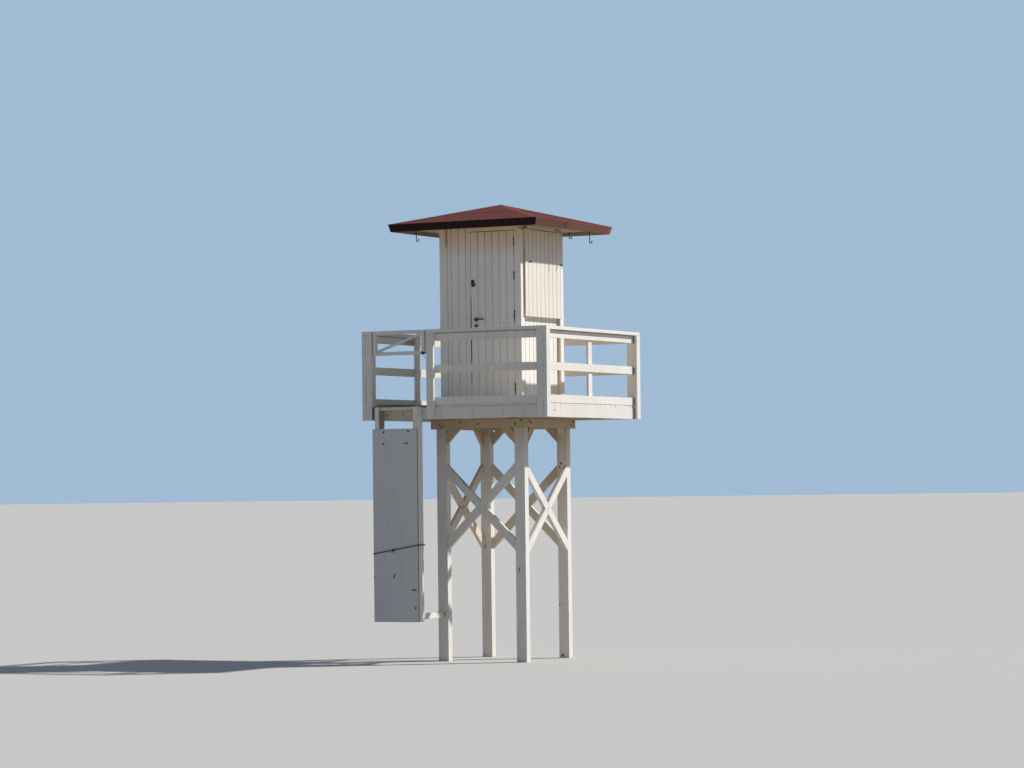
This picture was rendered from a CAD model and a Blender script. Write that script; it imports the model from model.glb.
# %% [markdown]
# # A timber lifeguard tower
# This lesson dresses a packed CAD model of a lifeguard tower: a small boarded hut on a railed deck,
# carried by four braced legs. The CAD gives every timber its size and place. Blender adds what makes
# old painted timber look real: eased edges, single deck boards, nails, bolts, rust and worn paint.

# %% Load the packed tower
import bpy
import bmesh
import math
import random
from mathutils import Vector, Matrix, noise


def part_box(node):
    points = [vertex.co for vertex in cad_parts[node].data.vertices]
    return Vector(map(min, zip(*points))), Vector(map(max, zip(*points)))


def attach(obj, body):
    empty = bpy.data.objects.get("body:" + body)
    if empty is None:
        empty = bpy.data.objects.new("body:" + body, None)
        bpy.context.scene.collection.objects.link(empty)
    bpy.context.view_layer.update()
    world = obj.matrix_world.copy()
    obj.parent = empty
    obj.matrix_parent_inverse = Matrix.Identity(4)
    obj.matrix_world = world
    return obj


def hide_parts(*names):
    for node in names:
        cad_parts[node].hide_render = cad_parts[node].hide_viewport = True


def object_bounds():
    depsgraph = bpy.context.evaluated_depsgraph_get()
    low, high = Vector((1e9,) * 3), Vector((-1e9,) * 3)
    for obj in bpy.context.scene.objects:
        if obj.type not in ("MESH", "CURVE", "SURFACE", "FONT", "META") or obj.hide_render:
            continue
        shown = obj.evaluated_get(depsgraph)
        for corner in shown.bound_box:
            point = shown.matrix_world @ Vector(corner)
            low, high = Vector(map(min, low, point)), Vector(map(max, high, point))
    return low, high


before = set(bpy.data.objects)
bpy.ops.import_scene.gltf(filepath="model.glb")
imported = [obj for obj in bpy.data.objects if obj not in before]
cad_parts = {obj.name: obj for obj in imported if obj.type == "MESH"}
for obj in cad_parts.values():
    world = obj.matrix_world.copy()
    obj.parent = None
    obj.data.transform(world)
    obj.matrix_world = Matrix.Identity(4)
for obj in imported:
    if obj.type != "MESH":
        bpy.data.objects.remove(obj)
cad_low, cad_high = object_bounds()
print("tower size", [round(v, 3) for v in cad_high - cad_low])

# %% [markdown]
# ## The tower's middle
# The row's origin lies in the middle of the whole footprint, and the ladder reaches out in front, so the
# four legs stand a little behind it. Places measured on the tower start from the middle of its legs.

# %% Measure from the middle of the legs
middle_y = (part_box("front_left_leg")[0].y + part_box("back_left_leg")[1].y) / 2
front, rear, left, rightward = (Vector(way) for way in ((0, -1, 0), (0, 1, 0), (-1, 0, 0), (1, 0, 0)))


def at(x, y, z):
    """A place measured from the middle of the legs, in metres."""
    return Vector((x, y + middle_y, z))


def placed(name, data):
    """A new object with this data, linked into the scene."""
    made = bpy.data.objects.new(name, data)
    bpy.context.scene.collection.objects.link(made)
    return made


print("legs' middle at y", round(middle_y, 4))

# %% [markdown]
# ## Camera
# The photograph was taken from far away with a long lens, from the front right and just above head
# height. One camera fitted to the edges of legs, deck, hut and roof gave its place, turn and lens.

# %% Set up the camera
turn, tilt, lean, swing = math.radians(28.1618), 0.0309, -0.0120, 0.0026
distance, eye_height, focal_px = 42.0044, 2.0427, 3455.05
film_width, photo_width_px = 36, 1024


def turned_pair(a, b, angle):
    """Two directions at right angles, turned together by an angle."""
    return a * math.cos(angle) + b * math.sin(angle), b * math.cos(angle) - a * math.sin(angle)


right, forward = turned_pair(rightward, rear, turn)
forward, right = turned_pair(forward, right, swing)
forward, up = turned_pair(forward, Vector((0, 0, 1)), tilt)
right, up = turned_pair(right, up, lean)
lens = bpy.data.cameras.new("long_lens")
lens.sensor_width = film_width
lens.lens = focal_px * film_width / photo_width_px
lens.clip_start, lens.clip_end = 0.5, 2000
camera = placed("camera", lens)
spot = at(distance * math.sin(turn), -distance * math.cos(turn), eye_height)
pose = Matrix((right, up, -forward)).transposed().to_4x4()
camera.matrix_world = Matrix.Translation(spot) @ pose
bpy.context.scene.camera = camera
print("camera at", [round(v, 2) for v in spot], "lens", round(lens.lens, 1))

# %% [markdown]
# ## Background
# White timber needs a background that it stands out from. The world shows a pale blue to the camera and to
# shiny surfaces only. Every other ray meets a second, weaker colour, which lights the shaded sides.

# %% Set the background
bpy.context.scene.view_settings.view_transform = "Standard"
seen_blue, fill_blue, fill_strength = (0.36, 0.50, 0.66), (0.62, 0.75, 1.0), 0.262
world = bpy.data.worlds.new("studio")
bpy.context.scene.world = world
world.use_nodes = True
sky = world.node_tree
sky.nodes.clear()


def plain_sky(colour, strength):
    """The output of a background shader in a plain colour."""
    node = sky.nodes.new("ShaderNodeBackground")
    node.inputs["Color"].default_value = (*colour, 1)
    node.inputs["Strength"].default_value = strength
    return node.outputs[0]


rays = sky.nodes.new("ShaderNodeLightPath").outputs
either = sky.nodes.new("ShaderNodeMath")
either.operation = "MAXIMUM"
both = sky.nodes.new("ShaderNodeMixShader")
out = sky.nodes.new("ShaderNodeOutputWorld")
wires = [(rays["Is Camera Ray"], either.inputs[0]), (rays["Is Glossy Ray"], either.inputs[1]),
         (either.outputs[0], both.inputs["Fac"]), (plain_sky(fill_blue, fill_strength), both.inputs[1]),
         (plain_sky(seen_blue, 1.0), both.inputs[2]), (both.outputs[0], out.inputs["Surface"])]
for source, socket in wires:
    sky.links.new(source, socket)
print("background:", seen_blue)

# %% [markdown]
# ## Sun
# The shadows of eave and railing in the photograph have crisp edges, so one small warm sun lights the tower
# from the back right. Its direction comes from where those shadows end.

# %% Set the sun
sun_from = Vector((0.624, 0.493, 0.608))
sun = bpy.data.lights.new("soft_key", "SUN")
sun.energy = 4.3
sun.angle = math.radians(1.6)
sun.color = (1.0, 0.965, 0.91)
placed("soft_key", sun).rotation_euler = sun_from.to_track_quat("Z", "Y").to_euler()
print("sun height in degrees:", round(math.degrees(math.asin(sun_from.normalized().z)), 1))

# %% [markdown]
# ## A small kit for materials
# Each finish is a tree of nodes. A few helpers keep the trees short: they add a node and wire its inputs,
# make noise, turn a grey value into a mask between two levels, and lay one colour over another.

# %% Helpers for node trees


class Finish:
    """A material and short ways to add nodes to it."""

    def __init__(self, name):
        self.material = bpy.data.materials.new(name)
        self.material.use_nodes = True
        self.tree = self.material.node_tree
        self.shader = self.tree.nodes["Principled BSDF"]

    def node(self, kind, links=None, **settings):
        made = self.tree.nodes.new(kind)
        for key_name, value in settings.items():
            setattr(made, key_name, value)
        for socket, value in (links or {}).items():
            self.plug(value, made.inputs[socket])
        return made

    def plug(self, value, socket):
        """Wires a node's output to a socket, or sets the socket to a number, a vector or a colour."""
        if isinstance(value, bpy.types.NodeSocket):
            self.tree.links.new(value, socket)
        else:
            socket.default_value = (*value, 1) if socket.type == "RGBA" else value

    def put(self, name, value):
        """Sets or wires one of the shader's own sockets."""
        self.plug(value, self.shader.inputs[name])

    def maths(self, operation, a, b=0.0, c=0.0):
        return self.node("ShaderNodeMath", {0: a, 1: b, 2: c}, operation=operation).outputs[0]

    def attribute(self, name, output="Fac"):
        return self.node("ShaderNodeAttribute", attribute_name=name).outputs[output]

    def place(self):
        return self.node("ShaderNodeTexCoord").outputs["Object"]

    def stretched(self, vector, scale):
        return self.node("ShaderNodeMapping", {"Vector": vector, "Scale": scale}).outputs[0]

    def noise(self, vector, scale, detail=4.0, rough=0.55):
        values = {"Vector": vector, "Scale": scale, "Detail": detail, "Roughness": rough}
        return self.node("ShaderNodeTexNoise", values).outputs["Fac"]

    def mask(self, value, low, high):
        values = {"Value": value, "From Min": low, "From Max": high}
        return self.node("ShaderNodeMapRange", values, clamp=True).outputs[0]

    def blend(self, factor, a, b):
        return self.node("ShaderNodeMix", {0: factor, 6: a, 7: b}, data_type="RGBA").outputs[2]

    def wash(self, under, value, low, high, share, over):
        """Lays a colour over another one where a value is high, at most by its share."""
        return self.blend(self.maths("MULTIPLY", self.mask(value, low, high), share), under, over)

    def reach(self, vector, place, size, lean=0.0):
        """How far a point lies from a place, counted in half sizes. The spot can lean about y."""
        values = {"Vector": vector, "Location": place, "Rotation": (0, lean, 0), "Scale": size}
        local = self.node("ShaderNodeMapping", values, vector_type="TEXTURE").outputs[0]
        return self.node("ShaderNodeVectorMath", {0: local}, operation="LENGTH").outputs["Value"]

    def spots(self, vector, places, wobble=0.55):
        """Ragged spots. Each is x, y, z, half sizes along x, y and z, and for some a lean."""
        ragged = self.maths("MULTIPLY", self.noise(vector, 70.0, 3.0), wobble)
        whole = None
        for x, y, z, wide, deep, tall, *lean in places:
            reach = self.maths("ADD", self.reach(vector, at(x, y, z), (wide, deep, tall), sum(lean)), ragged)
            spot = self.mask(reach, 1.1 + wobble * 0.5, 0.85 + wobble * 0.5)
            whole = spot if whole is None else self.maths("MAXIMUM", whole, spot)
        return whole

    def bump(self, height, distance, strength=1.0):
        values = {"Height": height, "Distance": distance, "Strength": strength}
        self.put("Normal", self.node("ShaderNodeBump", values).outputs[0])


print("a finish can:", [name for name in vars(Finish) if not name.startswith("_")])

# %% [markdown]
# ## Floor
# A pale floor takes the shadow and sends some light back up to the undersides. The camera sees it a little
# lighter than the tower does, so that the light it sends back doesn't wash out the shade.

# %% Lay the floor
bounced, shown = (0.44, 0.425, 0.40), (0.58, 0.57, 0.55)
floor_radius, floor_drop = 900, 0.001
floor_mesh = bpy.data.meshes.new("pale_floor")
ground = bmesh.new()
bmesh.ops.create_circle(ground, cap_ends=True, segments=64, radius=floor_radius)
ground.to_mesh(floor_mesh)
ground.free()
floor = placed("pale_floor", floor_mesh)
floor.location.z = cad_low.z - floor_drop
pale = Finish("pale_floor")
pale.put("Base Color", pale.blend(pale.node("ShaderNodeLightPath").outputs["Is Camera Ray"], bounced, shown))
pale.put("Roughness", 0.95)
pale.put("Specular IOR Level", 0.1)
floor_mesh.materials.append(pale.material)
print("floor radius:", floor_radius)

# %% [markdown]
# ## Painted timber
# The paint is an old off-white. It is thin over the grain, so fibres show as fine lines along each board.
# It has flaked to grey-brown wood in small long chips and along the sharp edges, and rain has drawn soft
# grey streaks down the upright faces. A picture of paint would repeat from board to board, so noise makes it
# here, and values that the meshes carry steer it: "along" is a place measured along the grain, "tone" differs
# from board to board, "edge" marks the eased edges and "groove" the V grooves.

# %% Mix paint over wood
paint_white, bare_wood, groove_dirt = (0.80, 0.785, 0.745), (0.30, 0.23, 0.155), (0.10, 0.080, 0.058)


def timber_finish(name, paint=paint_white, wood=bare_wood, chips=0.35, dirt=0.30, wear=0.6, fibre=0.35,
                  groove=0.85, marks=(), stains=(), fade=None, shine=0.35):
    """Paint over wood. chips, dirt, wear, fibre, groove and shine go from 0 to 1.

    marks are spots of bare wood. stains are pairs of a colour and its spots. fade is a height range in which
    the paint turns to another colour.
    """
    f = Finish(name)
    along = f.attribute("along", "Vector")
    place = f.place()
    fibres = f.noise(f.stretched(along, (3.0, 90.0, 90.0)), 1.0, 5.0, 0.6)
    rings = f.noise(f.stretched(along, (0.9, 16.0, 16.0)), 1.0, 3.0, 0.5)
    clouds = f.noise(place, 2.3, 3.0)
    streaks = f.noise(f.stretched(place, (26.0, 26.0, 1.6)), 1.0, 4.0, 0.6)
    flakes = f.noise(f.stretched(along, (7.0, 34.0, 34.0)), 1.0, 8.0, 0.68)

    white = f.blend(f.mask(f.attribute("tone"), -0.6, 1.3), tuple(c * 0.90 for c in paint), paint)
    dirty = tuple(c * k for c, k in zip(paint, (0.66, 0.60, 0.50)))
    white = f.wash(white, clouds, 0.40, 0.75, dirt * 0.6, dirty)
    white = f.wash(white, streaks, 0.50, 0.78, dirt, dirty)
    white = f.wash(white, fibres, 0.56, 0.80, fibre, dirty)
    if fade:
        level = f.node("ShaderNodeSeparateXYZ", {0: place}).outputs["Z"]
        level = f.maths("ADD", level, f.maths("MULTIPLY", streaks, 0.37 * (fade[1] - fade[0])))
        faded = f.mask(level, fade[0], fade[1])
        white = f.blend(faded, white, fade[2])
        groove = f.maths("MULTIPLY_ADD", faded, 0.5, groove)
    for stain_colour, places in stains:
        white = f.blend(f.maths("MULTIPLY", f.spots(place, places, 0.8), 0.8), white, stain_colour)
    white = f.blend(f.maths("MULTIPLY", f.attribute("groove"), groove), white, groove_dirt)

    pale = tuple(min(c * 1.35, 1.0) for c in wood)
    dark = tuple(c * 0.55 for c in wood)
    grain = f.blend(f.mask(rings, 0.35, 0.65), pale, wood)
    grain = f.wash(grain, fibres, 0.45, 0.72, 0.7, dark)

    limit = 0.745 - 0.16 * chips
    gone = f.mask(flakes, limit, limit + 0.035)
    rub = f.maths("MULTIPLY", f.attribute("edge"), f.mask(flakes, 0.62 - 0.22 * wear, 0.68 - 0.2 * wear))
    gone = f.maths("MAXIMUM", gone, rub)
    if marks:
        gone = f.maths("MAXIMUM", gone, f.spots(place, marks))
    f.put("Base Color", f.blend(gone, white, grain))
    f.put("Roughness", f.maths("MULTIPLY_ADD", gone, 0.28, 0.55))
    f.put("Specular IOR Level", shine)
    f.bump(f.maths("MULTIPLY_ADD", gone, -0.6, f.maths("MULTIPLY", fibres, 0.5)), 0.0012, 0.7)
    return f.material


old_white = timber_finish("old_white_paint")
print("first finish:", old_white.name)

# %% [markdown]
# ## Finishes of the hut
# The hut is the whitest part. Its paint turns brown toward the eave, so it fades into a second colour at the
# wall's top. Rust and soot run down from hinges, nails and joints. Each such streak is a stretched spot with a
# ragged rim, placed as a brush would place it. The hatches are older and yellower, in frames of tan battens.

# %% Mix the finishes of the hut
soot, rust_brown, olive = (0.05, 0.04, 0.03), (0.20, 0.10, 0.06), (0.26, 0.21, 0.12)
hut_face, hatch_face = 0.555, 0.579
wall_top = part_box("front_wall")[1].z
hut_stains = [
    (olive, [(-0.462, -hut_face, 5.14, 0.012, 0.05, 0.17), (hut_face, -0.50, 5.19, 0.05, 0.07, 0.025),
             (hut_face, 0.50, 5.17, 0.05, 0.05, 0.04)]),
    (rust_brown, [(0.465, -hut_face, z, 0.010, 0.03, 0.05) for z in (5.00, 4.60, 4.10, 3.22)]
     + [(0.15, -hut_face, 5.164, 0.35, 0.03, 0.005), (0.465, -hut_face, 4.9, 0.004, 0.03, 0.20)]),
    ((0.80, 0.64, 0.48), [(0.536, 0.467, 3.66, 0.03, 0.012, 0.60)]),
    ((0.62, 0.48, 0.35), [(0.52, 0.455, 4.06, 0.03, 0.04, 0.05)]),
    (soot, [(0.321, -hut_face, 4.056, 0.006, 0.03, 0.014), (-0.127, -0.56, 3.85, 0.009, 0.03, 0.63),
            (hut_face, 0.40, 5.165, 0.03, 0.012, 0.018)])]
hatch_stains = [
    (soot, [(hatch_face, 0, 5.183, 0.03, 0.45, 0.007), (hatch_face, 0.46, 5.14, 0.03, 0.010, 0.05),
            (hatch_face, 0.455, 5.02, 0.03, 0.006, 0.05)]),
    ((0.30, 0.26, 0.20), [(0.567, -0.480, 4.62, 0.012, 0.004, 0.52)]),
    (rust_brown, [(hatch_face, 0.135, 4.73, 0.03, 0.008, 0.05)])]
batten_stains = [
    (rust_brown, [(hatch_face, 0.35, 5.212, 0.03, 0.06, 0.013), (hatch_face, 0.41, 5.20, 0.03, 0.012, 0.02)])]
hut_white = timber_finish(
    "hut_white_paint", (0.89, 0.865, 0.825), bare_wood, 0.25, 0.22, 0.4, fibre=0.3, groove=0.34,
    stains=hut_stains, fade=(wall_top - 0.30, wall_top + 0.14, (0.76, 0.54, 0.30)))
hatch_white = timber_finish(
    "hatch_paint", (0.83, 0.78, 0.71), bare_wood, 0.20, 0.20, 0.4, fibre=0.25, groove=0.30,
    stains=hatch_stains, fade=(wall_top - 0.30, wall_top + 0.16, (0.62, 0.50, 0.34)))
batten_paint = timber_finish(
    "tan_batten_paint", (0.70, 0.60, 0.44), (0.24, 0.17, 0.10), 0.45, 0.5, 0.8, fibre=0.4, stains=batten_stains)
print("stained places on the hut:", sum(len(places) for _, places in hut_stains + hatch_stains + batten_stains))

# %% [markdown]
# ## Finishes of legs and braces
# The legs' paint is chipped down to dark wood here and there, and browned where they meet the beams. The far
# legs and braces show warmer, sunlit faces through the frame. Rust has run from some nails, and a dark line
# follows the front brace, so its spots lean as the brace does.

# %% Mix the finishes of legs and braces
leg_face, far_face = 0.6, 0.505
dark_wood, brace_lean = (0.20, 0.14, 0.10), -0.736
leg_white = timber_finish(
    "leg_white_paint", wood=dark_wood, chips=0.30, wear=0.5,
    marks=[(0.511, -leg_face, 1.104, 0.008, 0.05, 0.032, 0.1)],
    stains=[(rust_brown, [(-0.508, -leg_face, 0.575, 0.010, 0.05, 0.016),
                          (-0.500, -leg_face, 0.545, 0.007, 0.05, 0.012)])],
    fade=(2.50, 2.92, (0.56, 0.50, 0.41)))
far_leg = timber_finish(
    "far_leg_paint", (0.88, 0.83, 0.76), dark_wood, 0.30, 0.35, 0.5,
    marks=[(0.518, far_face, 2.371, 0.022, 0.03, 0.014, 0.6), (0.500, far_face, 2.325, 0.016, 0.03, 0.012, 0.6),
           (0.576, far_face, 2.198, 0.008, 0.03, 0.012), (-0.552, far_face, 1.36, 0.012, 0.03, 0.022),
           (0.47, far_face, 0.644, 0.008, 0.05, 0.014), (0.513, far_face, 0.03, 0.020, 0.05, 0.016)],
    fade=(2.40, 2.90, (0.60, 0.49, 0.34)))
far_brace = timber_finish(
    "far_brace_paint", (0.82, 0.73, 0.60), (0.30, 0.21, 0.13), dirt=0.40,
    stains=[((0.42, 0.24, 0.12), [(-0.573, 0.07, 1.88, 0.03, 0.022, 0.018),
                                  (-0.573, 0.088, 1.818, 0.03, 0.018, 0.022),
                                  (-0.573, -0.03, 1.85, 0.03, 0.05, 0.02)]),
            ((0.66, 0.47, 0.28), [(0.38, 0.56, 2.25, 0.17, 0.08, 0.15)])])
front_brace = timber_finish(
    "front_brace_paint", stains=[(soot, [(-0.285, -leg_face, 2.21, 0.006, 0.03, 0.20, brace_lean),
                                         (-0.235, -leg_face, 2.190, 0.003, 0.03, 0.11, brace_lean)])])
print("legs and braces:", [one.name for one in (leg_white, far_leg, far_brace, front_brace)])

# %% [markdown]
# ## Finishes of deck, railing and roof underside
# Deck boards are walked down to the wood, and their front edge is dark with dirt beside the ladder. The rails
# are dark on top, and soot lies along the toe boards. Under the deck only a thin brown film of paint is left.
# All of them are the same mix with other values, so that they still look like one paint.

# %% Mix the finishes of deck, railing and roof underside
rail_face = 1.178
rail_stains = [((0.42, 0.28, 0.17), [(-rail_face, -0.14, 3.87, 0.03, 0.22, 0.04)]),
               ((0.74, 0.63, 0.49), [(0, rail_face, z, 1.2, 0.012, 0.12) for z in (3.87, 3.50)]),
               (soot, [(-rail_face, -0.085, 3.87, 0.03, 0.02, 0.03)])]
rim_stains = [(soot, [(1.2, -0.965, 2.988, 0.03, 0.032, 0.006)]),
              ((0.70, 0.60, 0.48), [(-0.74, -1.2, 2.97, 0.36, 0.03, 0.08)]),
              (rust_brown, [(x, -1.2, 2.968, 0.012, 0.05, 0.012) for x in (-0.93, -0.72, -0.585)])]
post_stains = [((0.88, 0.79, 0.67), [(1.13, 1.155, 3.55, 0.07, 0.012, 0.50)]),
               (soot, [(1.211, 1.155, z, 0.010, 0.006, 0.05) for z in (3.88, 3.50, 3.12, 3.00, 2.94)]
                + [(-1.115, -1.22, 2.98, 0.004, 0.04, 0.09)])]
rail_white = timber_finish("rail_white_paint", stains=rail_stains, fade=(3.918, 3.936, (0.14, 0.10, 0.065)))
toe_stains = [(soot, [(-rail_face, 0, 3.078, 0.03, 1.18, 0.034)])]
toe_white = timber_finish("toe_white_paint", dirt=0.35, stains=toe_stains)
rim_white = timber_finish("rim_white_paint", (0.79, 0.76, 0.72), dirt=0.35, stains=rim_stains)
post_white = timber_finish("post_white_paint", chips=0.30, wear=0.5, stains=post_stains)
worn_white = timber_finish("thin_worn_paint", (0.59, 0.47, 0.315), (0.30, 0.21, 0.125), 0.62, 0.75, 1.0)
eave_wood = timber_finish("olive_brown_soffit", (0.46, 0.37, 0.24), (0.20, 0.15, 0.09), 0.45, 0.6, 0.8)
deck_wood = timber_finish("walked_deck_wood", (0.56, 0.50, 0.41), (0.36, 0.30, 0.22), 0.6, 0.6, 0.8)
dark_edge = timber_finish("dirty_deck_edge", (0.13, 0.11, 0.085), (0.20, 0.16, 0.11), 0.5, 0.35, 0.7)
print("stained places outside:", sum(len(places) for _, places in rail_stains + rim_stains + post_stains))

# %% [markdown]
# ## Finishes of ladder and climb board
# The climb board is a coated sheet, greyer than the timber and almost without grain. Its cut edge is dark, and
# knocks have opened it down to the core. The worn board at the ladder's head is olive.

# %% Mix the finishes of ladder and climb board
board_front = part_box("climb_board")[0].y - middle_y
board_marks = [
    (-0.774, board_front, 1.045, 0.010, 0.05, 0.038, 0.45), (-0.505, board_front, 0.881, 0.038, 0.05, 0.011, 0.05),
    (-1.050, board_front, 1.030, 0.010, 0.05, 0.020), (-0.486, board_front, 0.667, 0.012, 0.05, 0.018)]
stringer_white = timber_finish(
    "stringer_white_paint", stains=[((0.30, 0.22, 0.17), [(-0.9745, -1.27, 2.95, 0.004, 0.09, 0.15)])])
tread_olive = timber_finish(
    "olive_head_tread", (0.72, 0.68, 0.49), (0.40, 0.36, 0.24), 0.6, 0.6, 0.9,
    stains=[((0.16, 0.14, 0.08), [(-0.74, -1.3, 3.014, 0.27, 0.15, 0.007)])])
sheet_paint = timber_finish(
    "grey_white_sheet", (0.64, 0.64, 0.645), (0.13, 0.10, 0.085), 0.05, 0.22, 0.5, fibre=0.10,
    marks=board_marks, stains=[(soot, [(-0.612, board_front, 2.622, 0.024, 0.05, 0.006)])])
sheet_edge = timber_finish("dark_sheet_edge", (0.012, 0.011, 0.010), (0.03, 0.025, 0.02), 0.3, 0.3, 0.3)
print("knocks in the climb board:", len(board_marks))

# %% [markdown]
# ## Iron, rope and roof finishes
# The iron was painted once and has rusted: dark brown with orange bloom and a rough skin. The rope is dark
# and dry. The roof covering is red-brown mineral felt, speckled by its grit and bleached in strips. In each a
# broad noise lays out the patches, and a fine one gives the skin its colour specks and its bump.

# %% Mix the other finishes


def rusty_iron(name, skin, bloom, metal):
    f = Finish(name)
    place = f.place()
    patches = f.noise(place, 55.0, 6.0, 0.65)
    grit = f.noise(place, 600.0, 3.0, 0.6)
    colour = f.blend(f.mask(patches, 0.42, 0.62), skin, bloom)
    f.put("Base Color", f.wash(colour, grit, 0.5, 0.8, 0.5, tuple(c * 1.6 for c in bloom)))
    f.put("Roughness", f.mask(patches, -0.6, 1.1))
    f.put("Metallic", metal)
    f.bump(grit, 0.0006, 0.5)
    return f.material


def dark_rope():
    f = Finish("dark_rope")
    along = f.attribute("along", "Vector")
    yarn = f.noise(f.stretched(along, (30.0, 500.0, 500.0)), 1.0, 4.0, 0.6)
    f.put("Base Color", f.blend(f.mask(yarn, 0.35, 0.7), (0.045, 0.038, 0.033), (0.14, 0.12, 0.10)))
    f.put("Roughness", 0.95)
    f.bump(yarn, 0.0008, 0.8)
    return f.material


def roof_felt(name, base, bleached):
    f = Finish(name)
    place = f.place()
    grit = f.noise(place, 420.0, 2.0, 0.7)
    worn = f.noise(place, 5.0, 4.0, 0.6)
    washed = f.noise(f.stretched(place, (9.0, 9.0, 0.5)), 1.0, 3.0, 0.6)
    colour = f.blend(f.mask(f.attribute("tone"), -0.2, 1.4), base, bleached)
    colour = f.wash(colour, worn, 0.45, 0.75, 0.45, bleached)
    colour = f.wash(colour, washed, 0.5, 0.8, 0.35, tuple(c * 0.6 for c in base))
    f.put("Base Color", f.wash(colour, grit, 0.52, 0.75, 0.45, tuple(c * 0.5 for c in base)))
    f.put("Roughness", 0.9)
    f.put("Specular IOR Level", 0.12)
    f.bump(grit, 0.0012, 0.8)
    return f.material


iron = rusty_iron("rusty_iron", (0.045, 0.034, 0.030), (0.19, 0.075, 0.035), 0.2)
dark_iron = rusty_iron("dark_iron", (0.022, 0.021, 0.020), (0.060, 0.042, 0.032), 0.1)
rope_fibre = dark_rope()
felt = roof_felt("red_brown_felt", (0.115, 0.031, 0.025), (0.177, 0.054, 0.042))
felt_light = roof_felt("bleached_hip_felt", (0.215, 0.068, 0.044), (0.27, 0.10, 0.064))
print("iron, rope and felt:", [one.name for one in (iron, dark_iron, rope_fibre, felt, felt_light)])

# %% [markdown]
# ## Finishes of the fascia
# The fascia closes the roof's rim. On the right its red-brown paint has weathered in three stretches, from
# pale at the far end to dark beside the joint of its two boards. In front it is almost black.

# %% Mix the finishes of the fascia
fascia_face, joint_y = 1.01, -0.19
fascia_stains = [
    ((0.23, 0.115, 0.075), [(fascia_face, 0.98, 5.2, 0.1, 0.10, 0.1)]),
    ((0.165, 0.066, 0.044), [(fascia_face, 0.40, 5.2, 0.1, 0.57, 0.1)]),
    ((0.060, 0.030, 0.015), [
        (fascia_face, joint_y, 5.2, 0.1, 0.012, 0.1), (fascia_face, -0.62, 5.16, 0.1, 0.05, 0.02),
        (fascia_face, -0.25, 5.22, 0.1, 0.08, 0.02), (fascia_face, 0.5, 5.17, 0.1, 0.06, 0.015)])]
fascia_red = timber_finish("red_brown_fascia", (0.142, 0.060, 0.042), (0.125, 0.078, 0.035), 0.95, 0.55, 0.8,
                           stains=fascia_stains, shine=0.15)
fascia_dark = timber_finish("dark_fascia", (0.024, 0.009, 0.009), (0.07, 0.035, 0.025), 0.10, 0.40, 0.3, shine=0.12)
print("fascia:", [one.name for one in (fascia_red, fascia_dark)])

# %% [markdown]
# ## From a CAD solid to single boards
# A CAD node such as the rails holds several separate boards. Each board is found by walking from face to
# face, and its longest edge gives the direction of the grain. The copy then gets eased edges, a few cuts
# along its length, and a slight bow, because no old timber is quite straight. The CAD mesh is untouched.

# %% Helpers that read boards


def solid_of(node):
    """A clean copy of a CAD node with whole flat faces."""
    bm = bmesh.new()
    bm.from_mesh(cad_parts[node].data)
    bmesh.ops.remove_doubles(bm, verts=bm.verts, dist=2e-5)
    bmesh.ops.dissolve_limit(bm, angle_limit=math.radians(0.8), verts=bm.verts, edges=bm.edges)
    return bm


def boards_in(bm):
    """The separate boards of a mesh, each as a list of faces."""
    bm.faces.ensure_lookup_table()
    for face in bm.faces:
        face.tag = False
    boards = []
    for first in bm.faces:
        if first.tag:
            continue
        first.tag = True
        board, border = [first], [first]
        while border:
            for edge in border.pop().edges:
                for face in edge.link_faces:
                    if not face.tag:
                        face.tag = True
                        board.append(face)
                        border.append(face)
        boards.append(board)
    return boards


def grain_of(board):
    """The direction of a board's longest edge."""
    edges = {e.index: e for f in board for e in f.edges}
    longest = max((edges[i] for i in sorted(edges)), key=lambda e: round(e.calc_length(), 5))
    way = (longest.verts[1].co - longest.verts[0].co).normalized()
    return -way if way.x + way.y + way.z < 0 else way


rails = solid_of("rails")
print("boards in the rails:", len(boards_in(rails)))
rails.free()

# %% [markdown]
# ## Easing, cutting and bowing a board
# A plane takes the sharp corners off real boards, and light catches that edge. Two bevel steps are enough.
# The cuts across the grain let the board bow by about a millimetre. Every point stays inside the CAD's box.

# %% Hand a mesh over


def finished(name, bm, finish, body="tower", nodes=()):
    """Makes an object from a mesh, gives it its finish and lets it stand for its CAD nodes."""
    for v in bm.verts:
        v.co = Vector(min(max(c, low), high) for c, low, high in zip(v.co, cad_low, cad_high))
    mesh = bpy.data.meshes.new(name)
    bm.to_mesh(mesh)
    bm.free()
    obj = placed(name, mesh)
    for one in finish:
        mesh.materials.append(one)
    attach(obj, body)
    if nodes:
        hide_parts(*nodes)
    return obj


def give_faces(obj, choose):
    """Gives each face of an object the finish whose number choose returns for it."""
    for face in obj.data.polygons:
        face.material_index = choose(face)


print("every piece stays between", [round(v, 3) for v in cad_low], "and", [round(v, 3) for v in cad_high])

# %% Dress a timber


def along_grain(grain, seed):
    """Returns a function that turns a point into its place along the grain, shifted for each board."""
    side = grain.orthogonal().normalized() if abs(grain.z) < 0.9 else Vector((1, 0, 0))
    if abs(grain.z) < 0.1:
        side = Vector((0, 0, 1))
    across = grain.cross(side)
    return lambda v: Vector((v.dot(grain), v.dot(side), v.dot(across))) + Vector((seed * 9, seed * 5, 0))


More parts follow.
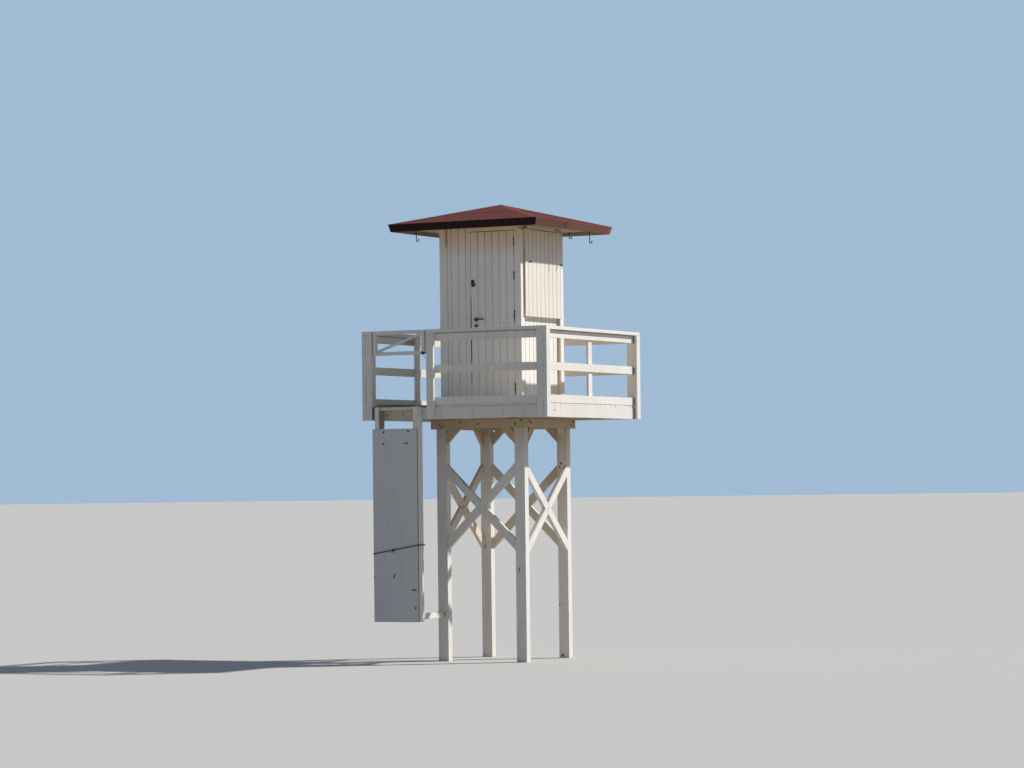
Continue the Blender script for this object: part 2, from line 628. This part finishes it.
def dress(node, finish, slot_name="white_paint", body="tower", ease=0.0022, bow=0.0010, step=0.3, clad=False,
          solid=None, stands_for=True):
    """Turns a CAD node's solids, or a changed copy, into eased and bowed boards with grain and tone."""
    chance = random.Random(node)
    bm = solid or solid_of(node)
    tone, worn, groove = (bm.faces.layers.float.new(name) for name in ("tone", "edge", "groove"))
    along = bm.verts.layers.float_vector.new("along")
    for board in boards_in(bm):
        same = chance.random()
        for face in board:
            face[tone] = chance.random() if clad else same
            if clad and min(abs(face.normal.x), abs(face.normal.y)) > 0.3:
                face[groove] = 1.0
    least_angle = 0.95 if clad else 0.4
    sharp = [e for e in bm.edges if len(e.link_faces) == 2 and e.is_convex and e.calc_face_angle() > least_angle]
    eased = bmesh.ops.bevel(bm, geom=sharp, offset=ease, segments=2, profile=0.6, affect="EDGES",
                            clamp_overlap=True)
    for face in eased["faces"]:
        face[worn] = 1.0
    bm.verts.index_update()
    bm.edges.index_update()
    for board in boards_in(bm):
        grain = grain_of(board)
        seed = chance.random()
        reach = [v.co.dot(grain) for f in board for v in f.verts]
        low, high = min(reach), max(reach)
        count = max(1, round((high - low) / step))
        geom = list(board) + list({e.index: e for f in board for e in f.edges}.values())
        geom += list({v.index: v for f in board for v in f.verts}.values())
        if bow:
            for i in range(1, count):
                level = low + (high - low) * i / count
                cut = bmesh.ops.bisect_plane(bm, geom=geom, plane_co=grain * level, plane_no=grain, dist=1e-5)
                geom = cut["geom"]
        local = along_grain(grain, seed)
        side = grain.orthogonal().normalized()
        for v in geom:
            if isinstance(v, bmesh.types.BMVert):
                v[along] = local(v.co)
                s = v.co.dot(grain) * 0.9
                v.co += side * bow * noise.noise((s, seed * 70, 0.3))
                v.co += grain.cross(side) * bow * noise.noise((s, seed * 70, 9.7))
    finishes = finish if isinstance(finish, list) else [finish]
    return finished(node + "_timber", bm, finishes, body, [node] if stands_for else [])


print("slot, body, easing, bow and cut length of a timber:", dress.__defaults__[:5])

# %% [markdown]
# ## Legs, braces, railing and ladder
# All of these are painted timbers, and each node gets its finish. The far legs carry a second finish on their
# sides that face right. The deck's boards are thinner than its CAD slab, so the rim boards and the joists are
# drawn up to them: the points at the level of the slab's underside are moved.

# %% Dress the painted timbers
painted = {"front_left_leg": leg_white, "front_right_leg": leg_white, "back_left_leg": far_leg,
           "back_right_leg": far_leg, "rim_boards": rim_white, "gate_post": old_white, "rail_supports": old_white,
           "rails": rail_white, "toe_boards": toe_white, "handrails": old_white, "ladder_stringers": stringer_white,
           "ladder_strut": old_white, "corner_posts": post_white, "front_braces": front_brace,
           "back_braces": far_brace, "left_braces": far_brace, "right_braces": old_white}
board_thick = 0.025
deck_low, deck_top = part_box("deck")[0].z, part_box("deck")[1].z


def to_deck(node):
    """A copy of a node that meets the underside of the thin deck boards."""
    moved = solid_of(node)
    for v in moved.verts:
        if abs(v.co.z - deck_low) < 0.002:
            v.co.z = deck_top - board_thick
    return moved


for node, finish in painted.items():
    copy = to_deck(node) if node == "rim_boards" else None
    timber = dress(node, [far_leg, leg_white] if finish is far_leg else finish, solid=copy)
    if finish is far_leg:
        give_faces(timber, lambda face: int(face.normal.x > 0.3))
for node in ("ring_beams", "knee_braces", "ladder_treads"):
    dress(node, worn_white, "worn_wood")
print("painted timbers:", len(painted))

# %% [markdown]
# ## The board at the ladder's head
# One worn board lies between the stringers, level with their tops. It is like the top tread, so a copy of
# that tread is lifted, made a little deeper and cut to the room between the stringers.

# %% Lift a copy of the top tread
stringer_inner, deeper = (-0.9735, -0.5105), 0.007
head_tread = solid_of("ladder_treads")
tread_top = max(v.co.z for v in head_tread.verts)
bmesh.ops.delete(head_tread, geom=[v for v in head_tread.verts if v.co.z < tread_top - 0.1], context="VERTS")
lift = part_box("ladder_stringers")[1].z - tread_top
for v in head_tread.verts:
    v.co.z += lift - (deeper if v.co.z < tread_top - 0.01 else 0)
    v.co.x = min(max(v.co.x, stringer_inner[0]), stringer_inner[1])
dress("ladder_head", tread_olive, "worn_wood", solid=head_tread, ease=0.004, stands_for=False)
print("head board lifted by", round(lift, 3))

# %% [markdown]
# ## Deck boards
# The deck is one slab in the CAD. Here it is sawn into boards that run along the front, with a gap that lets
# rain through. Their ends show in a row at both sides of the deck.

# %% A saw


def sawn(solid, axis, start, pitch, gap):
    """Saws a solid into boards along one axis, with gaps between them, and uses it up."""
    whole = bmesh.new()
    reach = [v.co.dot(axis) for v in solid.verts]
    place = start
    while place < max(reach):
        strip = solid.copy()
        for level, way in ((place + gap / 2, -1), (place + pitch - gap / 2, 1)):
            bmesh.ops.bisect_plane(strip, geom=strip.verts[:] + strip.edges[:] + strip.faces[:],
                                   plane_co=axis * level, plane_no=axis * way, clear_outer=True)
            bmesh.ops.holes_fill(strip, edges=[e for e in strip.edges if e.is_boundary], sides=0)
        mesh = bpy.data.meshes.new("strip")
        strip.to_mesh(mesh)
        whole.from_mesh(mesh)
        bpy.data.meshes.remove(mesh)
        strip.free()
        place += pitch
    solid.free()
    return whole


deck_pitch, deck_gap = 0.1326, 0.005

# %% Saw the deck
dress("joists", worn_white, "worn_wood", solid=to_deck("joists"))
deck_boards = sawn(to_deck("deck"), rear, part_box("deck")[0].y, deck_pitch, deck_gap)
deck = dress("deck", [deck_wood, old_white, dark_edge], "worn_wood", ease=0.003, solid=deck_boards)


def deck_side(face):
    walked = face.normal.y < -0.5 and face.center.x < -0.3
    return 0 if abs(face.normal.z) > 0.8 else 2 if walked else 1


give_faces(deck, deck_side)
print("deck board width:", round(deck_pitch - deck_gap, 4))

# %% [markdown]
# ## Hut, door and hatches
# The V grooves between the wall boards are in the CAD, so the copies keep them. Each board between two
# grooves gets a tone of its own. Three grooves left of the door are moved in the copy to where the photograph
# has them. Battens and the last board of the right hatch take a second finish, chosen by where a face lies.

# %% Dress the hut
boarded = {"ease": 0.001, "bow": 0, "clad": True}
moved_grooves, groove_shift = (-0.40, -0.14), 0.043
front_boards = solid_of("front_wall")
for v in front_boards.verts:
    if moved_grooves[0] < v.co.x < moved_grooves[1]:
        v.co.x -= groove_shift
dress("front_wall", hut_white, solid=front_boards, **boarded)
batten_reach, last_board = 0.556, 0.442
for node in ("back_wall", "left_wall", "right_wall"):
    wall = dress(node, [hut_white, batten_paint], **boarded)
    give_faces(wall, lambda face: int(max(abs(face.center.x), abs(face.center.y - middle_y)) > batten_reach))
hatches = dress("hatches", [hatch_white, hut_white], **boarded)
give_faces(hatches, lambda face: int(face.center.x > 0.55 and face.center.y > middle_y + last_board))
for node in ("hut_corner_posts", "door_header"):
    dress(node, hut_white)
dress("door", hut_white, body="door", **boarded)
dress("gate", old_white, body="gate", bow=0)
print("hatch faces:", len(hatches.data.polygons))

# %% [markdown]
# ## Soffit and climb board
# The soffit under the eave is sawn into narrow boards, as the deck is. The climb board is a single sheet, so
# only its cut edges, which face left and right, get the dark finish.

# %% Saw the soffit and dress the climb board
soffit_pitch, soffit_gap = 0.0971, 0.003
soffit = sawn(solid_of("ceiling"), rightward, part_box("ceiling")[0].x, soffit_pitch, soffit_gap)
dress("ceiling", eave_wood, ease=0.0015, bow=0, solid=soffit)
sheet = dress("climb_board", [sheet_paint, sheet_edge], "board_paint", ease=0.0015, bow=0.0015)
give_faces(sheet, lambda face: int(abs(face.normal.x) > 0.7))
print("soffit board width:", round(soffit_pitch - soffit_gap, 4))

# %% [markdown]
# ## Roof covering
# Two wide courses of felt cover each slope, the upper one lapping over the lower one, and a strip folds over
# each hip. They could be drawn as loose faces, but a sheet with a real thickness casts the fine shadow that
# shows a lap, so each one is a thin closed form. The CAD cover is the envelope: all lies under its surface.

# %% Find the slopes
eave_low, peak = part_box("roof_cover")
roof_mid = (eave_low + peak) / 2
half = (peak.x - eave_low.x) / 2
cover_thick = 0.02
rise = peak.z - eave_low.z - cover_thick


def roof_point(side, across, run, drop):
    """A point on one of the four slopes: run goes from 0 at the eave to 1 at the peak."""
    reach = half * (1 - run)
    point = Vector((across * reach, -reach, eave_low.z + cover_thick + rise * run - drop))
    return Matrix.Rotation(side * math.pi / 2, 3, "Z") @ point + Vector((roof_mid.x, roof_mid.y, 0))


def skin(bm, rings):
    """The faces between neighbouring rings of vertices."""
    faces = []
    for a, b in zip(rings, rings[1:]):
        for k in range(len(a)):
            after = (k + 1) % len(a)
            faces.append(bm.faces.new((a[k], a[after], b[after], b[k])))
    return faces


def ring_prism(bm, rings, layer, shade):
    """Closes a chain of equal rings of points into one solid form."""
    made = [[bm.verts.new(p) for p in ring] for ring in rings]
    for face in [bm.faces.new(made[0][::-1]), bm.faces.new(made[-1])] + skin(bm, made):
        face[layer] = shade


print("roof rises", round(rise, 3), "over", round(half, 3))

# %% Lay the felt
cover = bmesh.new()
cover.from_mesh(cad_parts["roof_cover"].data)
tone = cover.faces.layers.float.new("tone")
bmesh.ops.remove_doubles(cover, verts=cover.verts, dist=2e-5)
felt_thick, columns, peak_run = 0.0024, 24, 0.998
slope_tones = (0.9, -0.2, 0.5, 0.6)
for v in cover.verts:
    reach = max(abs(v.co.x - roof_mid.x), abs(v.co.y - roof_mid.y))
    if abs(v.co.z - (eave_low.z + cover_thick + (half - reach) * rise / half)) < 0.002:
        v.co.z -= 2 * felt_thick
chance = random.Random("courses")
for side in range(4):
    for low, high, lift in ((0.0, 0.56, felt_thick), (0.50, peak_run, 0.0002)):
        rings = []
        for i in range(columns + 1):
            across = 2 * i / columns - 1
            dip = 0.0003 * abs(math.sin(i * 1.7 + side * 2 + low * 40)) + lift
            rings.append([roof_point(side, across, low, dip), roof_point(side, across, high, dip),
                          roof_point(side, across, high, dip + felt_thick),
                          roof_point(side, across, low, dip + felt_thick)])
        ring_prism(cover, rings, tone, slope_tones[side] + chance.uniform(-0.1, 0.1))
bmesh.ops.recalc_face_normals(cover, faces=cover.faces)
print("felt faces:", len(cover.faces))

# %% Fold the hip strips
hip_width, strip_thick = 0.055, 0.0016
hip = bmesh.new()
hip_tone = hip.faces.layers.float.new("tone")
for side in range(4):
    for low, high, lift in ((0.0, 0.52, 0.0008), (0.50, peak_run, 0.0)):
        rings = []
        for run in (low, (low + high) / 2, high):
            edge = 1 - min(hip_width / max(half * (1 - run), hip_width), 1)
            rings.append([p for drop in (lift, lift + strip_thick) for p in
                          ([roof_point(side, edge, run, drop), roof_point(side, 1, run, drop),
                            roof_point(side + 1, -edge, run, drop)][::1 if drop == lift else -1])])
        ring_prism(hip, rings, hip_tone, chance.random())
bmesh.ops.recalc_face_normals(hip, faces=hip.faces)
print("hip strip faces:", len(hip.faces))

# %% Hand the covering over
covering = finished("roof_felt", cover, [felt, fascia_dark, fascia_red, eave_wood],
                    nodes=["roof_cover"])


def cover_side(face):
    """Felt above, the fascia's paint at the low edge, bare wood below."""
    if abs(face.normal.z) < 0.2 and face.area > 0.01:
        return 1 if face.normal.y < -0.5 else 2
    return 3 if face.normal.z < -0.5 and face.area > 0.2 else 0


give_faces(covering, cover_side)
finished("hip_strips", hip, [felt_light])
print("covering faces:", len(covering.data.polygons))

# %% [markdown]
# ## Fascia
# On the right and the left the fascia is two boards that meet in a butt joint, so the CAD ring is sawn there.
# Each face then takes a finish by the side it lies on: dark in front, red-brown elsewhere, bare wood inside.

# %% Saw and paint the fascia
saw_pitch, joint_gap = 1.25, 0.003
fascia_boards = sawn(solid_of("roof_fascia"), rear, middle_y + joint_y - saw_pitch, saw_pitch, joint_gap)
fascia = dress("roof_fascia", [fascia_red, fascia_dark, eave_wood], "roof_edge", ease=0.002, bow=0.0,
               solid=fascia_boards)


def fascia_side(face):
    x, y = face.center.x, face.center.y - middle_y
    out = Vector((0, math.copysign(1, y), 0)) if abs(y) > abs(x) else Vector((math.copysign(1, x), 0, 0))
    return 2 if face.normal.dot(out) < -0.5 else int(out.y < 0)


give_faces(fascia, fascia_side)
print("fascia faces:", len(fascia.data.polygons))

# %% [markdown]
# ## Nails and bolts
# Nails are small domed heads, bolts have a washer under a larger domed head. Both are turned from a
# profile. They sit where the boards they hold cross, as on the real tower. Every nailed side is upright, so
# a fixing needs only the side's direction and reach, a place across it and a height.

# %% Helpers for fixings


def turned(bm, place, way, profile, sides):
    """Turns a profile of (radius, height) pairs about an axis that stands on a surface."""
    way = way.normalized()
    side = way.orthogonal().normalized()
    other = way.cross(side)
    spread = [side * math.cos(a) + other * math.sin(a) for a in (2 * math.pi * i / sides for i in range(sides))]
    rings = [[bm.verts.new(place + way * height + out * radius) for out in spread] for radius, height in profile]
    skin(bm, rings)
    bm.faces.new(rings[-1])


def nail(bm, place, way, radius=0.0045):
    turned(bm, place, way, [(radius, -0.001), (radius, 0.0008), (radius * 0.75, 0.0018),
                            (radius * 0.3, 0.0022)], 10)


def bolt(bm, place, way, radius):
    turned(bm, place, way, [(radius * 1.5, -0.001), (radius * 1.5, 0.002), (radius, 0.002), (radius * 0.95, 0.006),
                            (radius * 0.6, 0.009), (radius * 0.2, 0.010)], 14)


fixings, painted_nails = bmesh.new(), bmesh.new()


def fix(kind, way, reach, places, radius=0.0045, bm=fixings):
    """Nails or bolts on the side that faces way. Each place is how far across the side, and how high."""
    across = Vector((abs(way.y), abs(way.x), 0))
    for u, z in places:
        kind(bm, at(0, 0, z) + way * reach + across * u, way, radius)


print("radius of a plain nail:", fix.__defaults__[0])

# %% Nail the rim boards
rim_low, rim_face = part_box("rim_boards")[0].z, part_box("rim_boards")[1].x
jitter = random.Random("nails")
fix(nail, front, rim_face, [(x + jitter.uniform(-0.006, 0.006), rim_low + z)
                            for x in (-0.199, 0.223, 0.639, 0.918) for z in (0.030, 0.066, 0.103)])
two_up = (0.035, 0.095)
fix(nail, rear, rim_face, [(x + jitter.uniform(-0.006, 0.006), rim_low + z)
                           for x in (-0.77, -0.385, 0.0, 0.385, 0.77) for z in two_up])
fix(nail, left, rim_face, [(y, rim_low + z + jitter.uniform(-0.004, 0.004))
                           for y in (-0.95, -0.55, -0.15, 0.3, 0.7, 1.0) for z in two_up])
print("points of the rim's nails:", len(fixings.verts))

# %% Nail the rails, toe boards and posts
rail_deep, post_face = 0.095, 1.25
rail_low, rail_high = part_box("rails")[0].z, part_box("rails")[1].z
rail_rows = [low + z for low in (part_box("toe_boards")[0].z, rail_low, rail_high - rail_deep) for z in (0.025, 0.07)]
post_rows = [rim_low + 0.031, rim_low + 0.1, 3.5, 3.88]
rail_nails = [(front, rim_face, (1.085,)), (front, middle_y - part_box("gate_post")[0].y, (-0.32,)),
              (rear, rim_face, (1.085, -1.085, -0.02, 0.02)), (left, rim_face, (-1.13, 1.13, -0.06)),
              (rightward, rim_face, (-1.13, 1.13, 0.024))]
for way, reach, columns in rail_nails:
    fix(nail, way, reach, [(u, z) for u in columns for z in rail_rows])
for way, columns in ((front, (1.2, -1.157)), (rear, (1.2, -1.2))):
    fix(nail, way, post_face, [(u, z) for u in columns for z in post_rows])
print("rows of rail nails at", [round(z, 3) for z in rail_rows])

# %% Bolt the ring beams
beam_face, beam_bolt = 0.65, 0.008
long_bolts = ((-0.532, 2.849), (-0.50, 2.82), (0.504, 2.84), (0.585, 2.886), (0.0, 2.85), (-0.25, 2.875))
side_bolts = ((-0.518, 2.85), (-0.56, 2.87), (0.531, 2.836), (0.57, 2.88))
for places, way, other_way in ((long_bolts, front, rear), (side_bolts, rightward, left)):
    fix(bolt, way, beam_face, places, beam_bolt)
    fix(bolt, other_way, beam_face, [(-u, z) for u, z in places], beam_bolt)
print("ring beam bolts:", 2 * len(long_bolts + side_bolts))

# %% Nail the braces and legs
brace_top, brace_low = 2.31, 1.40
brace_nail, cross_bolt, leg_nail = 0.005, 0.007, 0.006


def brace_ends(across, end, drop=0.0):
    """Places near the four ends of a crossed pair of braces."""
    return [(side * across, z - drop - end * k) for side in (-1, 1) for z, k in ((brace_top, 1), (brace_low, -1))]


for way in (front, rear):
    fix(nail, way, leg_face, brace_ends(0.445, 0.012), brace_nail)
    fix(nail, way, leg_face, brace_ends(0.425, 0.056), brace_nail, painted_nails)
    fix(bolt, way, leg_face, [(0, (brace_top + brace_low) / 2)], cross_bolt, painted_nails)
for way, drop in ((left, 0.0), (rightward, 0.032)):
    fix(nail, way, leg_face, brace_ends(0.485, 0.012, drop) + brace_ends(0.462, 0.054, drop), brace_nail,
        painted_nails)
    fix(bolt, way, leg_face, [(0, (brace_top + brace_low) / 2 - drop)], cross_bolt, painted_nails)
finished("painted_nails", painted_nails, [old_white])
fix(nail, front, leg_face, [(0.511, 1.104)], leg_nail)
fix(nail, front, -far_face, [(0.49, 0.644), (0.53, 0.66), (-0.552, 1.36), (0.576, 2.198)], leg_nail)
strut_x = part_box("ladder_strut")[0].x + 0.057
fix(nail, front, leg_face, [(strut_x, 0.545), (strut_x, 0.585)], brace_nail)
print("strut nails at x", round(strut_x, 3))

# %% Bolt the climb board and nail the hut
fix(bolt, front, -board_front, [(-0.901, 2.759), (-0.565, 2.763), (-0.908, 2.622), (-0.584, 2.624)], 0.009)
fix(nail, front, -board_front, [(-0.486, 0.667)], 0.008)
corner, first_nail, nail_pitch, nail_count = 0.51, 3.2, 0.27, 8
for way in (front, rear, rightward, left):
    fix(nail, way, hut_face, [(u, first_nail + row * nail_pitch) for u in (-corner, corner)
                              for row in range(nail_count)], 0.003)
finished("nails_and_bolts", fixings, [iron])
print("hut nails:", 4 * 2 * nail_count)

# %% [markdown]
# ## Bolts of the hatches
# Each hatch is held shut by two small sliding bolts, high up at its sides. On the real one they are stamped
# plates with a round bar. A plate with eased edges and a turned bar is enough at this size.

# %% Bolt the hatches
catches = bmesh.new()
face_of_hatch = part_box("hatches")[1].x


def catch_bolt(place, way, out, size):
    """A small sliding bolt that lies on a face: its bar runs along way."""
    rise = out.cross(way).normalized()
    plate = bmesh.ops.create_cube(catches, size=1.0)["verts"]
    for v in plate:
        v.co = place + way * v.co.x * size + rise * v.co.y * 0.016 + out * (v.co.z * 0.003 + 0.0015)
    edges = list({e for v in plate for e in v.link_edges})
    bmesh.ops.bevel(catches, geom=edges, offset=0.0008, segments=1, affect="EDGES")
    for k in (-0.3, 0.3):
        nail(catches, place + way * size * k + rise * 0.005 + out * 0.003, out, 0.002)
    turned(catches, place - way * size * 0.62 + out * 0.0045, way,
           [(0.0005, 0), (0.0035, 0.001), (0.004, 0.003), (0.004, size * 1.2), (0.003, size * 1.25)], 10)


for turn_about in (0, 90, 180):
    spin = Matrix.Rotation(math.radians(turn_about), 3, "Z")
    for y, z, slope in ((-0.352, 4.790, 0.12), (0.458, 4.790, 0.14)):
        way = Vector((0, math.cos(slope), math.sin(slope)))
        flat = spin @ Vector((face_of_hatch, y, z))
        catch_bolt(flat + at(0, 0, 0), spin @ way, spin @ rightward, 0.06)
bmesh.ops.recalc_face_normals(catches, faces=catches.faces)
finished("hatch_bolts", catches, [dark_iron])
print("hatch bolts:", 6)

# %% [markdown]
# ## Rope
# Three strands twist round each other along a loop about the ladder. A plain tube with a twisted bump would
# show a smooth outline, so each strand is a tube of its own. The loop follows the CAD rope, with rounded
# corners, and a knot of two turns with two loose ends closes it in front.

# %% Find the loop of the rope
rope_low, rope_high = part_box("tie_rope")
margin, point_step = 0.0075, 0.003
x0, x1 = rope_low.x + margin, rope_high.x - margin
y0, y1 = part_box("climb_board")[0].y - margin, rope_high.y - margin
z0, z1 = rope_low.z + margin, rope_high.z - margin


def rope_height(x):
    return z0 + (z1 - z0) * (x - x0) / (x1 - x0)


def loop_points(corner=0.012):
    """The rope's middle line: a loop with rounded corners, higher on the right, in points 3 mm apart."""
    tips = [Vector(tip) for tip in ((x0, y0), (x1, y0), (x1, y1), (x0, y1))]
    flat = []
    for i, tip in enumerate(tips):
        before = tip + (tips[i - 1] - tip).normalized() * corner
        after = tip + (tips[(i + 1) % 4] - tip).normalized() * corner
        flat += [(1 - t) ** 2 * before + 2 * t * (1 - t) * tip + t * t * after for t in (k / 6 for k in range(7))]
    points = []
    for a, b in zip(flat, flat[1:] + flat[:1]):
        count = max(1, round((b - a).length / point_step))
        points += [a.lerp(b, k / count) for k in range(count)]
    return [Vector((p.x, p.y, rope_height(p.x))) for p in points]


line = loop_points()
print("rope points:", len(line))

# %% Twist three strands along it


def tube(bm, points, radius, sides, layer, closed):
    """A round tube along points, with the place along it written to each vertex."""
    rings, length = [], 0.0
    for i, p in enumerate(points):
        before = points[i - 1] if i or closed else points[0]
        after = points[(i + 1) % len(points)] if i + 1 < len(points) or closed else points[-1]
        way = (after - before).normalized()
        side = way.cross(Vector((0.12, 0.31, 0.94))).normalized()
        other = way.cross(side)
        ring = []
        for k in range(sides):
            a = 2 * math.pi * k / sides
            v = bm.verts.new(p + (side * math.cos(a) + other * math.sin(a)) * radius)
            v[layer] = (length, math.cos(a) * radius, math.sin(a) * radius)
            ring.append(v)
        rings.append(ring)
        length += (after - p).length
    for face in skin(bm, rings + rings[:1] if closed else rings):
        face.smooth = True
    if not closed:
        bm.faces.new(rings[0][::-1])
        bm.faces.new(rings[-1])


strand, lay, twist_length = 0.0036, 0.0034, 0.035
rope = bmesh.new()
rope_along = rope.verts.layers.float_vector.new("along")
twists = round(len(line) * point_step / twist_length)
for s in range(3):
    wound = []
    for i, p in enumerate(line):
        way = (line[(i + 1) % len(line)] - line[i - 1]).normalized()
        side = way.cross(Vector((0, 0, 1))).normalized()
        a = 2 * math.pi * (twists * i / len(line) + s / 3)
        wound.append(p + (side * math.cos(a) + way.cross(side) * math.sin(a)) * lay)
    tube(rope, wound, strand, 7, rope_along, True)
print("twists of the strands:", twists)

# %% Tie the knot
knot_strand = 0.0042
knot = Vector((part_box("climb_board")[0].x + 0.275, y0, 0))
knot.z = rope_height(knot.x)
around = [2 * math.pi * k / 28 for k in range(28)]
for dx in (-0.006, 0.006):
    tube(rope, [knot + Vector((dx + 0.003 * math.cos(a), -0.0035 + math.sin(a) * 0.0075, math.cos(a) * 0.0125))
                for a in around], knot_strand, 8, rope_along, True)
for way in (-1, 1):
    tube(rope, [knot + Vector((way * (0.004 + 0.014 * t), -0.007 - 0.003 * math.sin(3 * t), -0.012 - 0.018 * t * t))
                for t in (k / 11 for k in range(12))], knot_strand, 8, rope_along, False)
finished("twisted_rope", rope, [rope_fibre], nodes=["tie_rope"])
print("knot at", [round(v, 3) for v in knot])

# %% [markdown]
# ## Hardware on the CAD nodes
# Hinges, lever, padlock, latch and hooks have their true shape in the CAD. They only need their finish.
# The hinge leaves were painted over together with the door, so only the knuckles round the pin show rust.

# %% Give the hardware its finish
door_pin, gate_pin = at(0.4645, -0.5615, 0), at(-1.1085, -1.1935, 0)
any_height = 1e6


def painted_leaf(name, pin, reach, dark=(0.05, 0.035, 0.03), bloom=(0.17, 0.07, 0.035), paint=paint_white):
    """Painted iron that has rusted within reach of its upright pin."""
    f = Finish(name)
    place = f.place()
    patches = f.noise(place, 90.0, 5.0, 0.65)
    edge = f.maths("ADD", f.reach(place, pin, (1, 1, any_height)), f.maths("MULTIPLY", patches, -0.012))
    bare = f.maths("MAXIMUM", f.mask(edge, reach, reach - 0.002), f.mask(patches, 0.66, 0.72))
    f.put("Base Color", f.blend(bare, paint, f.blend(f.mask(patches, 0.4, 0.6), dark, bloom)))
    f.put("Roughness", f.maths("MULTIPLY_ADD", bare, 0.25, 0.5))
    f.bump(f.maths("MULTIPLY", bare, -1.0), 0.0004, 0.5)
    return f.material


door_leaf = painted_leaf("painted_door_hinge", door_pin, 0.005, (0.16, 0.09, 0.06), (0.30, 0.20, 0.15))
post_leaf = painted_leaf("painted_post_hinge", door_pin, 0.005, (0.055, 0.040, 0.03), (0.12, 0.07, 0.045))
gate_leaf = painted_leaf("painted_gate_hinge", gate_pin, 0.004)
hatch_leaf = painted_leaf("painted_hatch_hinge", (0, 0, 0), 0.0, paint=(0.50, 0.41, 0.29))
old_brass = rusty_iron("old_brass", (0.10, 0.085, 0.055), (0.055, 0.045, 0.035), 0.3)
finishes = {"gate_hinge_leaves": gate_leaf, "gate_latch": dark_iron, "hatch_hinges": hatch_leaf,
            "door_hinge_leaves": door_leaf, "fixed_hinge_leaves": post_leaf, "door_handle": old_brass,
            "padlock": dark_iron, "eave_hooks": dark_iron}
for node, finish in finishes.items():
    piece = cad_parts[node]
    if not piece.material_slots:
        piece.data.materials.append(finish)
    for slot in piece.material_slots:
        slot.link = "OBJECT"
        slot.material = finish
print("hardware finished:", len(finishes))

# %% [markdown]
# ## Hand over
# The box of the CAD and the box of the dressed model are kept side by side: they have to agree.
